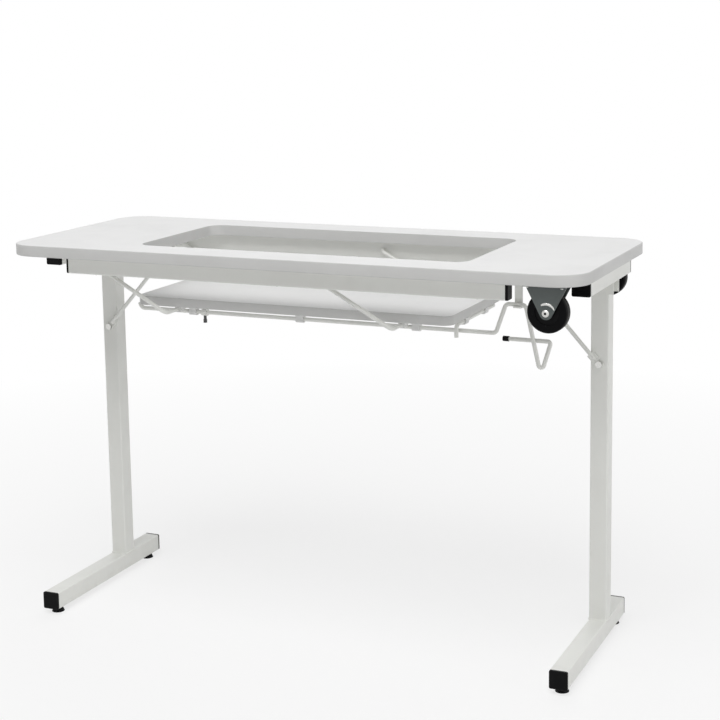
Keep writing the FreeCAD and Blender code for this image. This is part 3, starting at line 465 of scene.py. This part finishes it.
@dataclass(frozen=True)
class WheelPlastic(Finish):
    """Hard wheel plastic: a scuffed, dusty tread about the axle's line.

    Attributes:
        axle: X and Z of the axle's line, which runs along Y.
        rim: Outer radius.
        tread_from: Share of the outer radius where the tread starts.
        scuff: Colour of the scuffed tread.
    """

    axle: Pair = (0.0, 0.0)
    rim: float = 0.0
    tread_from: float = 0.92
    scuff: Triple = (0.05, 0.048, 0.045)

    def tread(self, graph: Graph, place: Socket) -> Socket:
        """Mask of the tread: distance from the axle's line, from zero to one.

        Args:
            graph: The material's graph.
            place: Object coordinates.

        Returns:
            The mask's socket.
        """
        centred = graph.node("ShaderNodeMapping", {
            "Vector": place, "Location": (-self.axle[0], 0.0, -self.axle[1]), "Scale": (1.0, 0.0, 1.0)})
        return graph.spread(graph.length(centred.outputs[0]), (self.rim * self.tread_from, self.rim))

    def colour(self, graph: Graph, place: Socket, masks: Node) -> Socket:
        """Black, greyed on the tread."""
        share = graph.math(Operation.MULTIPLY, self.tread(graph, place), masks.outputs["Smudge"])
        return graph.blend(share, self.base, self.scuff)

    def roughness(self, graph: Graph, place: Socket, masks: Node) -> Socket:
        """Glossy sides, dull tread."""
        return graph.spread(self.tread(graph, place), (0.0, 1.0), (self.gloss, self.dull))


@dataclass(frozen=True)
class PlatedSteel(Finish):
    """Plated steel: small crystals that catch the light unevenly."""

    def roughness(self, graph: Graph, place: Socket, masks: Node) -> Socket:
        """Roughness that changes from crystal to crystal.

        Args:
            graph: The material's graph.
            place: Object coordinates.
            masks: The shared relief group, not used here.

        Returns:
            The roughness's socket.
        """
        cells = graph.node("ShaderNodeTexVoronoi", {"Vector": place, "Scale": self.grain_scale})
        tone = graph.node("ShaderNodeSeparateColor", {0: cells.outputs["Color"]}).outputs[0]
        return graph.spread(tone, (0.0, 1.0), (self.gloss, self.dull))


class Wardrobe:
    """One material for each finish."""

    def __init__(self) -> None:
        """Build the materials."""
        low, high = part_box("front_caster_tyre")
        axle = ((low.x + high.x) / 2, (low.z + high.z) / 2)
        rim = (high.x - low.x) / 2
        finishes: Sequence[Finish] = (
            Laminate(
                Slot.LAMINATE, base=(0.80, 0.80, 0.797), soiled=(0.71, 0.71, 0.70), soil=0.2,
                gloss=0.38, dull=0.52, grain_scale=700.0, relief=0.05 * MM),
            EdgeBand(
                Slot.BAND, base=(0.59, 0.59, 0.58), soiled=(0.52, 0.52, 0.51), soil=0.3,
                gloss=0.4, dull=0.55, grain_scale=500.0, relief=0.03 * MM),
            PowderCoat(
                Slot.STEEL, base=(0.80, 0.805, 0.77), soiled=(0.71, 0.71, 0.675), soil=0.25,
                gloss=0.34, dull=0.46, grain_scale=520.0, relief=0.06 * MM, coat=0.1),
            Finish(
                Slot.WHITE_PLASTIC, base=(0.76, 0.76, 0.75), soiled=(0.66, 0.66, 0.64), soil=0.3,
                gloss=0.4, dull=0.5, grain_scale=900.0, relief=0.04 * MM),
            Finish(
                Slot.BLACK_PLASTIC, base=(0.004, 0.004, 0.0045), soiled=(0.012, 0.012, 0.012), soil=0.5,
                gloss=0.42, dull=0.6, grain_scale=1500.0, relief=0.05 * MM, shine=0.08),
            WheelPlastic(
                Slot.WHEEL, base=(0.003, 0.003, 0.0035), soiled=(0.012, 0.012, 0.012), soil=0.5,
                gloss=0.22, dull=0.5, grain_scale=800.0, relief=0.02 * MM, shine=0.06,
                axle=axle, rim=rim),
            Finish(
                Slot.FORK, base=(0.075, 0.09, 0.086), soiled=(0.045, 0.052, 0.05), soil=0.5,
                gloss=0.34, dull=0.5, grain_scale=900.0, relief=0.03 * MM, coat=0.2),
            PlatedSteel(
                Slot.ZINC, base=(0.66, 0.66, 0.64), soiled=(0.5, 0.5, 0.48), soil=0.4,
                gloss=0.2, dull=0.38, grain_scale=1100.0, relief=0.01 * MM, metallic=1.0),
            Finish(
                Slot.RUBBER, base=(0.006, 0.006, 0.006), soiled=(0.015, 0.015, 0.015), soil=0.5,
                gloss=0.6, dull=0.75, grain_scale=1200.0, relief=0.04 * MM, shine=0.1),
            PlatedSteel(
                Slot.DARK_STEEL, base=(0.09, 0.09, 0.09), soiled=(0.05, 0.05, 0.05), soil=0.4,
                gloss=0.16, dull=0.3, grain_scale=1100.0, relief=0.01 * MM, metallic=1.0),
        )
        self.materials = {finish.slot.value: finish.material() for finish in finishes}

    def dress(self, piece: Piece, slot: str) -> None:
        """Put a finish on a piece.

        Args:
            piece: A node of the frame or a new piece.
            slot: The finish's name.
        """
        materials = piece.data.materials
        if len(materials) == 0:
            materials.append(None)
        for index in range(len(materials)):
            materials[index] = self.materials[slot]


# Meshes worked out with numpy


def grid_mesh(name: str, points: Array, around: bool = True, along: bool = True,
              capped: bool = False, smooth: bool = True) -> Piece:
    """Make a mesh from a grid of points.

    Args:
        name: The piece's name.
        points: Array of rows by columns by three.
        around: Join the last column to the first.
        along: Join the last row to the first.
        capped: Close the first and the last row with a flat face.
        smooth: Shade smooth.

    Returns:
        The new object, at the origin.
    """
    rows, columns = points.shape[:2]
    row = np.arange(rows if along else rows - 1)
    column = np.arange(columns if around else columns - 1)
    here, there = np.meshgrid(row, column, indexing="ij")
    next_row, next_column = (here + 1) % rows, (there + 1) % columns
    quads = np.stack([here * columns + there, next_row * columns + there,
                      next_row * columns + next_column, here * columns + next_column], axis=-1)
    faces = quads.reshape(-1, 4).tolist()
    if capped:
        ring = np.arange(columns)
        faces += [ring.tolist(), ((rows - 1) * columns + ring[::-1]).tolist()]
    mesh = bpy.data.meshes.new(name)
    mesh.from_pydata(points.reshape(-1, 3).tolist(), [], faces)
    mesh.polygons.foreach_set("use_smooth", np.full(len(mesh.polygons), smooth))
    mesh.update()
    piece = bpy.data.objects.new(name, mesh)
    bpy.context.collection.objects.link(piece)
    return piece


def rounded_loop(length: float, width: float, corner: float, steps: int) -> tuple[Array, Array]:
    """Rounded rectangle about the origin: four quarter circles, joined by straight sides.

    Args:
        length: Size along X.
        width: Size along Y.
        corner: Corner radius.
        steps: Points on each quarter circle.

    Returns:
        Points on the loop and outward normals, anticlockwise, each an array of points by two.
    """
    turn = np.linspace(0.0, QUARTER_TURN, steps)
    angle = (np.arange(4)[:, None] * QUARTER_TURN + turn).ravel()
    sign_x = np.repeat([1.0, -1.0, -1.0, 1.0], steps)
    sign_y = np.repeat([1.0, 1.0, -1.0, -1.0], steps)
    normal = np.stack([np.cos(angle), np.sin(angle)], axis=-1)
    centre = np.stack([sign_x * (length / 2 - corner), sign_y * (width / 2 - corner)], axis=-1)
    return centre + corner * normal, normal


def band_profile(thickness: float, height: float, round_over: float, steps: int) -> Array:
    """Section of an edge band: a flat back and a face with two quarter-round edges.

    Args:
        thickness: How thick the band is.
        height: How tall the band is.
        round_over: Radius of the two long edges.
        steps: Points on each quarter circle.

    Returns:
        Points as out and up, from the back's foot to the back's top.
    """
    turn = np.linspace(0.0, QUARTER_TURN, steps)
    out = thickness - round_over
    lower = np.stack([out + round_over * np.sin(turn), round_over * (1.0 - np.cos(turn))], axis=-1)
    upper = np.stack([out + round_over * np.cos(turn),
                      height - round_over * (1.0 - np.sin(turn))], axis=-1)
    return np.concatenate([[[0.0, 0.0]], lower, upper, [[0.0, height]]])


# Sub-assemblies


@dataclass
class SubAssembly:
    """Nodes of the frame that belong together, with the new pieces made for them.

    Attributes:
        nodes: Names of the nodes.
        body: Body that the new pieces ride on.
        pieces: The new pieces, filled in by build.
    """

    nodes: tuple[str, ...]
    body: Body
    pieces: list[Piece] = field(default_factory=list, kw_only=True)

    def build(self) -> None:
        """Make the new pieces, where the group has any."""

    def add(self, piece: Piece, slot: Slot, stands_for: str = "") -> None:
        """Let a new piece ride on the group's body.

        Args:
            piece: The new piece.
            slot: Its finish.
            stands_for: The node that it is shown in place of.
        """
        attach(piece, self.body.value)
        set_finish(piece, slot.value)
        if stands_for:
            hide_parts(stands_for)
        self.pieces.append(piece)

    def dress(self, wardrobe: Wardrobe) -> None:
        """Give the group's nodes and new pieces their finishes.

        Args:
            wardrobe: Holds the materials.
        """
        slots = {entry["node"]: entry["material_slot"] for entry in frame["record"]["subparts"]}
        for node in self.nodes:
            wardrobe.dress(frame["nodes"][node], slots[node])
            LOG.info("node %s wears %s", node, slots[node])
        for piece in self.pieces:
            wardrobe.dress(piece, piece["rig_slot"])
            LOG.info("piece %s: %d faces", piece.name, len(piece.data.polygons))


@dataclass
class UnderFrame(SubAssembly):
    """Rails, bearers, leg hinges, brackets, latch hook and screws under the top, all as packed."""


@dataclass
class BandedBoard(SubAssembly):
    """Board with an edge band.

    Attributes:
        corner_steps: Points on each round corner.
        profile_steps: Points on each round-over of the band.
    """

    corner_steps: int = 28
    profile_steps: int = 6

    def band(self, name: str, node: str, thickness: float, corner: float, round_over: float,
             inside: bool = False) -> None:
        """Make a band: each row is its section, set out along the normal of the board's outline.

        Args:
            name: The new piece's name.
            node: The plain band that it is shown in place of.
            thickness: How thick the band is.
            corner: Corner radius of the loop that the band's back lies on.
            round_over: Radius of the band's two long edges.
            inside: The band lines an opening, so that it faces inwards.
        """
        low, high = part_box(node)
        size = high - low
        middle = (low + high) / 2
        shrink = 0.0 if inside else 2 * thickness
        loop, normal = rounded_loop(size.x - shrink, size.y - shrink, corner, self.corner_steps)
        section = band_profile(thickness, size.z, round_over, self.profile_steps)
        facing = -normal if inside else normal
        level = loop[:, None, :] + facing[:, None, :] * section[None, :, :1]
        up = np.broadcast_to(section[None, :, 1:], (*level.shape[:2], 1))
        points = np.concatenate([level, up], axis=-1) + np.array([middle.x, middle.y, low.z])
        self.add(grid_mesh(name, points[:, ::-1] if inside else points), Slot.BAND, node)


@dataclass
class TableTop(BandedBoard):
    """Top board with the band round its outer edge and the thin band round its opening.

    Attributes:
        outer_thickness: How thick the outer band is.
        outer_corner: Corner radius behind the outer band.
        outer_round: Radius of the outer band's long edges.
        lip_thickness: How thick the opening's band is.
        lip_corner: Corner radius behind the opening's band.
        lip_round: Radius of that band's long edges.
    """

    outer_thickness: float = 2.0 * MM
    outer_corner: float = 58.0 * MM
    outer_round: float = 1.8 * MM
    lip_thickness: float = 1.0 * MM
    lip_corner: float = 31.0 * MM
    lip_round: float = 0.8 * MM

    def build(self) -> None:
        """Make both bands."""
        self.band("top_edge_moulding", "top_edge_band",
                  self.outer_thickness, self.outer_corner, self.outer_round)
        self.band("opening_lip", "opening_edge_band",
                  self.lip_thickness, self.lip_corner, self.lip_round, inside=True)


@dataclass
class PlatformLift(BandedBoard):
    """Platform board with its band, the hangers, the latch and the keeper rod.

    Attributes:
        thickness: How thick the band is.
        corner: Corner radius behind the band.
        round_over: Radius of the band's long edges.
    """

    thickness: float = 1.0 * MM
    corner: float = 19.0 * MM
    round_over: float = 0.8 * MM

    def build(self) -> None:
        """Make the board's band."""
        self.band("platform_edge_moulding", "platform_edge_band",
                  self.thickness, self.corner, self.round_over)

    def dress(self, wardrobe: Wardrobe) -> None:
        """Dress the group, with a dark screw in the latch's collar."""
        super().dress(wardrobe)
        wardrobe.dress(frame["nodes"]["latch_collar_screw"], Slot.DARK_STEEL.value)


@dataclass
class Leg(SubAssembly):
    """Leg with its brace and glides, and a rippled weld round the foot of its column.

    Attributes:
        side: Which end of the table it stands at.
        radius: Mean radius of the weld's bead.
        ripple: How much the radius swings.
        pitch: Length of one ripple.
        corner: Corner radius of the column.
        corner_steps: Points on each corner of the column.
        steps: Points along the weld.
        sides: Points round the bead.
    """

    side: Side
    radius: float = 1.9 * MM
    ripple: float = 0.35 * MM
    pitch: float = 2.6 * MM
    corner: float = 3.0 * MM
    corner_steps: int = 8
    steps: int = 360
    sides: int = 10

    def build(self) -> None:
        """Carry a circle round the column's outline, its radius a cosine of the length along it."""
        low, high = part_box(f"{self.side.value}_column")
        loop, normal = rounded_loop(high.x - low.x, high.y - low.y, self.corner, self.corner_steps)
        closed = np.concatenate([loop, loop[:1]])
        facing = np.concatenate([normal, normal[:1]])
        length = np.concatenate([[0.0], np.cumsum(np.linalg.norm(np.diff(closed, axis=0), axis=1))])
        at = np.linspace(0.0, length[-1], self.steps, endpoint=False)
        path = np.stack([np.interp(at, length, closed[:, axis]) for axis in (0, 1)], axis=-1)
        out = np.stack([np.interp(at, length, facing[:, axis]) for axis in (0, 1)], axis=-1)
        waves = round(length[-1] / self.pitch)
        radius = self.radius + self.ripple * np.cos(at / length[-1] * waves * FULL_TURN)
        angle = np.linspace(0.0, FULL_TURN, self.sides, endpoint=False)
        level = path[:, None, :] + out[:, None, :] * (radius[:, None] * np.cos(angle))[..., None]
        up = (radius[:, None] * np.sin(angle))[..., None]
        centre = np.array([(low.x + high.x) / 2, (low.y + high.y) / 2, low.z])
        points = np.concatenate([level, up], axis=-1) + centre
        self.add(grid_mesh(f"{self.side.value}_column_weld", points), Slot.STEEL)


@dataclass
class Casters(SubAssembly):
    """Both casters, with a pressed rib over each axle finished bright as a painted highlight, washers,
    and a dark plug of painted shade in the bolt's socket.

    Attributes:
        cheek: From the wheel's middle to a cheek's outer face.
        boss: From the wheel's middle to the raised boss round the axle.
        rib_radius: From the axle to the rib's middle.
        rib_half: Half the rib's width.
        rib_height: How far the rib stands out.
        rib_span: Where the rib starts and ends, in degrees from straight up.
        rib_cut: Share of the span that is cut off at each end, so that no end is a point.
        rib_lean: Power of the share along the rib; below one, the widest place is nearer to the start.
        rib_sides: Points across the rib.
        socket_floor: From the wheel's middle to the bottom of the bolt's socket.
        shade_plug_depth: How far the dark plug of painted shade stands up in the socket.
        shade_plug_radius: Radius of the dark plug of painted shade.
        shade_plug_dish: How far its middle lies below its rim.
        shade_plug_middle: Radius of its flat middle, as a share of its full radius.
        dish_steps: Rings of the dish.
        washer_inner: Radius of a washer's hole.
        washer_outer: Outer radius of a washer.
        washer_height: How far a washer stands out.
        washer_edge: Width of the bevel on its rim.
        sunk: How far the pieces reach into what they sit on.
        steps: Points round a full circle, or along a rib.
    """

    cheek: float = 17.0 * MM
    boss: float = 18.0 * MM
    rib_radius: float = 16.2 * MM
    rib_half: float = 2.5 * MM
    rib_height: float = 1.2 * MM
    rib_span: Pair = (-36.0, 70.0)
    rib_cut: float = 0.02
    rib_lean: float = 0.75
    rib_sides: int = 12
    socket_floor: float = 19.1 * MM
    shade_plug_depth: float = 1.5 * MM
    shade_plug_radius: float = 2.2 * MM
    shade_plug_dish: float = 0.8 * MM
    shade_plug_middle: float = 0.1
    dish_steps: int = 6
    washer_inner: float = 4.3 * MM
    washer_outer: float = 8.6 * MM
    washer_height: float = 0.5 * MM
    washer_edge: float = 0.15 * MM
    sunk: float = 0.2 * MM
    steps: int = 64

    def build(self) -> None:
        """Make a rib, finished bright as a painted highlight, and a washer for each cheek of both forks,
        and a dark plug of painted shade for each bolt's socket.
        """
        for caster in Face:
            low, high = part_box(f"{caster.value}_caster_tyre")
            axle = np.array((low + high) / 2)
            for cheek in Face:
                rib = self.rib(f"{caster.value}_fork_{cheek.value}_rib", axle, cheek)
                # The rib's bright zinc finish is a painted highlight along the fork's pressed rib.
                self.add(rib, Slot.ZINC)
                washer = self.washer(f"{caster.value}_axle_{cheek.value}_washer", axle, cheek)
                self.add(washer, Slot.FORK)
            # A dark plug in black plastic sits in each bolt's socket as painted shade.
            self.add(self.socket(f"{caster.value}_axle_socket_painted_shade", axle), Slot.BLACK_PLASTIC)

    def circle(self) -> Array:
        """Angles of a full circle."""
        return np.linspace(0.0, FULL_TURN, self.steps, endpoint=False)

    def placed(self, angle: Array, radius: Array, out: Array, axle: Array) -> Array:
        """Turn rings into points: the angle runs from straight up towards +X, out is measured along Y.

        Args:
            angle: Angle of each row.
            radius: Distance from the axle's line.
            out: Distance from the wheel's middle, with its sign.
            axle: Middle of the wheel.

        Returns:
            Array of rows by columns by three.
        """
        across = radius * np.sin(angle)[:, None]
        up = radius * np.cos(angle)[:, None]
        return np.stack([across, np.broadcast_to(out, across.shape), up], axis=-1) + axle

    def rib(self, name: str, axle: Array, cheek: Face) -> Piece:
        """Half-round rib on an arc, bright as a painted highlight: its half ellipse swells with the root
        of a leaning sine.

        Args:
            name: The piece's name.
            axle: Middle of the wheel.
            cheek: Which cheek it is pressed in.

        Returns:
            The new piece.
        """
        share = np.linspace(self.rib_cut, 1.0 - self.rib_cut, self.steps)
        start, end = np.radians(self.rib_span)
        angle = start + share * (end - start)
        swell = np.sqrt(np.sin(math.pi * share ** self.rib_lean))[:, None]
        turn = np.linspace(0.0, math.pi, self.rib_sides)
        radius = self.rib_radius - self.rib_half * np.cos(turn) * swell
        radius = np.concatenate([radius, radius[:, [-1, 0]]], axis=1)
        foot = np.full((self.steps, 2), -self.sunk)
        out = np.concatenate([self.rib_height * np.sin(turn) * swell, foot], axis=1)
        points = self.placed(angle, radius, cheek.sign * (self.cheek + out), axle)
        return grid_mesh(name, points[:, ::cheek.sign], along=False, capped=True)

    def socket(self, name: str, axle: Array) -> Piece:
        """Dark plug of painted shade in the bolt's socket: a straight wall, then a dish that goes with
        the radius squared.

        Args:
            name: The piece's name.
            axle: Middle of the wheel.

        Returns:
            The new piece.
        """
        share = np.linspace(1.0, self.shade_plug_middle, self.dish_steps)
        radius = self.shade_plug_radius * np.concatenate([[1.0], share])
        face = self.shade_plug_depth - self.shade_plug_dish * (1.0 - share ** 2)
        out = -(self.socket_floor + np.concatenate([[0.0], face]))
        rings = np.broadcast_to(radius, (self.steps, len(radius)))
        points = self.placed(self.circle(), rings, out, axle).transpose(1, 0, 2)
        return grid_mesh(name, points, along=False, capped=True, smooth=False)

    def washer(self, name: str, axle: Array, cheek: Face) -> Piece:
        """Flat washer with a softened rim: its section turned through a full circle.

        Args:
            name: The piece's name.
            axle: Middle of the wheel.
            cheek: Which cheek it lies on.

        Returns:
            The new piece.
        """
        section = np.array([
            [self.washer_inner, -self.sunk], [self.washer_inner, self.washer_height],
            [self.washer_outer - self.washer_edge, self.washer_height],
            [self.washer_outer, self.washer_height - self.washer_edge], [self.washer_outer, -self.sunk]])
        radius = np.broadcast_to(section[:, 0], (self.steps, len(section)))
        points = self.placed(self.circle(), radius, cheek.sign * (self.boss + section[:, 1]), axle)
        return grid_mesh(name, points[:, ::cheek.sign], smooth=False)


# Studio


@dataclass(frozen=True)
class Lamp:
    """Square soft lamp.

    Attributes:
        name: The lamp's name.
        place: Where it hangs.
        aim: What it looks at.
        size: Length of a side.
        watts: Its power.
    """

    name: str
    place: Triple
    aim: Triple
    size: float
    watts: float

    def build(self) -> None:
        """Hang the lamp and turn it to its aim."""
        light = bpy.data.lights.new(self.name, "AREA")
        light.size = self.size
        light.energy = self.watts
        lamp = bpy.data.objects.new(self.name, light)
        lamp.location = self.place
        facing = Vector(self.aim) - Vector(self.place)
        lamp.rotation_euler = facing.to_track_quat("-Z", "Y").to_euler()
        bpy.context.collection.objects.link(lamp)


@dataclass
class Studio:
    """Floor, light and the camera of the photograph.

    Attributes:
        eye: Place of the camera.
        yaw: Turn to the right, in degrees.
        pitch: Tilt down, in degrees.
        roll: Turn about the view, in degrees.
        focal: Focal length, in pixels of the photograph.
        frame_pixels: Width and height of the photograph.
        centre: Where the view's axis meets the frame, in pixels from the top left.
        sensor: Width of the camera's sensor, in millimetres.
        floor_size: Length of the floor's side.
        floor_white: How pale the floor is.
        glow_near: Share of plain white in the floor beside the object.
        glow_range: Distances from the object where the floor starts to go white and is fully white.
        ambient: Even light on the object.
        lamps: The lamps.
    """

    eye: Triple = (1.3428, -2.8082, 1.2318)
    yaw: float = -22.653
    pitch: float = 8.689
    roll: float = -0.638
    focal: float = 1588.8
    frame_pixels: float = 720.0
    centre: Pair = (405.0, 250.0)
    sensor: float = 36.0
    floor_size: float = 40.0
    floor_white: float = 0.90
    glow_near: float = 0.7
    glow_range: Pair = (0.6, 2.4)
    ambient: float = 0.36
    lamps: tuple[Lamp, ...] = (
        Lamp("key_lamp", place=(0.5, -2.8, 5.4), aim=(0.0, 0.0, 0.5), size=4.0, watts=184.0),
        Lamp("side_lamp", place=(9.0, -1.4, 2.2), aim=(0.0, 0.0, 0.4), size=4.0, watts=138.0),
        Lamp("back_lamp", place=(-1.2, 2.6, 3.2), aim=(0.0, 0.0, 0.65), size=2.0, watts=12.0),
    )

    def build(self) -> None:
        """Make the floor, the world, the lamps and the camera."""
        self.floor()
        self.world()
        for lamp in self.lamps:
            lamp.build()
        self.camera()

    def floor(self) -> None:
        """Pale floor that keeps a soft shadow and goes white with the distance from the object."""
        edge = np.array([-0.5, 0.5]) * self.floor_size
        across, deep = np.meshgrid(edge, edge, indexing="ij")
        corners = np.stack([across, deep, np.zeros_like(across)], axis=-1)
        floor = grid_mesh("studio_floor", corners, around=False, along=False, smooth=False)
        made, graph = new_material("studio_floor")
        matte = graph.node("ShaderNodeBsdfDiffuse", {"Color": (*[self.floor_white] * 3, 1.0)})
        glow = graph.node("ShaderNodeEmission", {"Color": WHITE, "Strength": 1.0})
        far = graph.length(graph.node("ShaderNodeTexCoord").outputs["Object"])
        white = graph.spread(far, self.glow_range, (self.glow_near, 1.0))
        share = graph.math(Operation.MULTIPLY, self.seen(graph), white)
        mix = graph.node("ShaderNodeMixShader", {0: share, 1: matte.outputs[0], 2: glow.outputs[0]})
        graph.node("ShaderNodeOutputMaterial", {"Surface": mix.outputs[0]})
        floor.data.materials.append(made)

    def seen(self, graph: Graph) -> Socket:
        """One for rays from the camera, and for reflections and refractions of it.

        Args:
            graph: The graph to add to.

        Returns:
            The value's socket.
        """
        path = graph.node("ShaderNodeLightPath")
        shown = graph.math(Operation.ADD, path.outputs["Is Camera Ray"], path.outputs["Is Glossy Ray"])
        return graph.math(Operation.ADD, shown, path.outputs["Is Transmission Ray"], clamp=True)

    def world(self) -> None:
        """White backdrop to the camera, an even softer light on the object."""
        world = bpy.data.worlds.new("studio_world")
        bpy.context.scene.world = world
        world.use_nodes = True
        world.node_tree.nodes.clear()
        graph = Graph(world.node_tree)
        strength = graph.spread(self.seen(graph), (0.0, 1.0), (self.ambient, 1.0))
        back = graph.node("ShaderNodeBackground", {"Color": WHITE, "Strength": strength})
        graph.node("ShaderNodeOutputWorld", {"Surface": back.outputs[0]})

    def camera(self) -> None:
        """Set up the camera from its angles and focal length, with the standard view transform."""
        yaw, pitch, roll = (math.radians(angle) for angle in (self.yaw, self.pitch, self.roll))
        ahead = math.cos(pitch)
        forward = Vector((math.sin(yaw) * ahead, math.cos(yaw) * ahead, -math.sin(pitch)))
        level = Vector((math.cos(yaw), -math.sin(yaw), 0.0))
        upright = level.cross(forward)
        right = math.cos(roll) * level + math.sin(roll) * upright
        up = math.cos(roll) * upright - math.sin(roll) * level
        lens = bpy.data.cameras.new("photo_camera")
        lens.sensor_width = self.sensor
        lens.lens = self.focal / self.frame_pixels * self.sensor
        lens.shift_x = (self.frame_pixels / 2 - self.centre[0]) / self.frame_pixels
        lens.shift_y = (self.centre[1] - self.frame_pixels / 2) / self.frame_pixels
        camera = bpy.data.objects.new("photo_camera", lens)
        bpy.context.collection.objects.link(camera)
        turn = Matrix((right, up, -forward)).transposed().to_4x4()
        camera.matrix_world = Matrix.Translation(self.eye) @ turn
        bpy.context.scene.camera = camera
        bpy.context.scene.view_settings.view_transform = "Standard"


def sub_assemblies() -> list[SubAssembly]:
    """Sort the frame's nodes into sub-assemblies.

    Returns:
        The sub-assemblies, from the top down.
    """
    made: list[SubAssembly] = [
        TableTop(("table_top", "top_edge_band", "opening_edge_band"), Body.FRAME),
        UnderFrame((
            "front_rail", "rear_rail", "rail_end_caps", "left_bearer", "right_bearer",
            "bearer_end_caps", "left_hinge_bracket", "right_hinge_bracket", "left_hinge_bolt",
            "right_hinge_bolt", "left_brace_bracket", "right_brace_bracket", "latch_hook",
            "frame_screws", "bracket_screws"), Body.FRAME),
        PlatformLift((
            "platform_board", "platform_edge_band", "crossbar_saddles", "latch_saddles",
            "keeper_clips", "platform_screws", "keeper_rod", "left_front_arm", "left_rear_arm",
            "left_crossbar", "right_front_arm", "right_rear_arm", "right_crossbar", "latch_rod",
            "latch_tip", "latch_collar", "latch_collar_screw"), Body.PLATFORM),
        Casters((
            "front_caster_fork", "rear_caster_fork", "front_caster_tyre", "rear_caster_tyre",
            "front_caster_hub", "rear_caster_hub", "caster_axles", "caster_nuts"), Body.FRAME),
    ]
    leg_nodes = ("column", "foot", "foot_caps", "glide_nuts", "brace_stud", "brace",
                 "front_glide", "rear_glide")
    for side, body in ((Side.LEFT, Body.LEFT_LEG), (Side.RIGHT, Body.RIGHT_LEG)):
        made.append(Leg(tuple(f"{side.value}_{node}" for node in leg_nodes), body, side))
    return made


def main() -> None:
    """Build and dress the sub-assemblies and set up the studio."""
    logging.basicConfig(level=logging.INFO, format="%(message)s")
    wardrobe = Wardrobe()
    for group in sub_assemblies():
        group.build()
        group.dress(wardrobe)
    Studio().build()


if __name__ == "__main__":
    main()
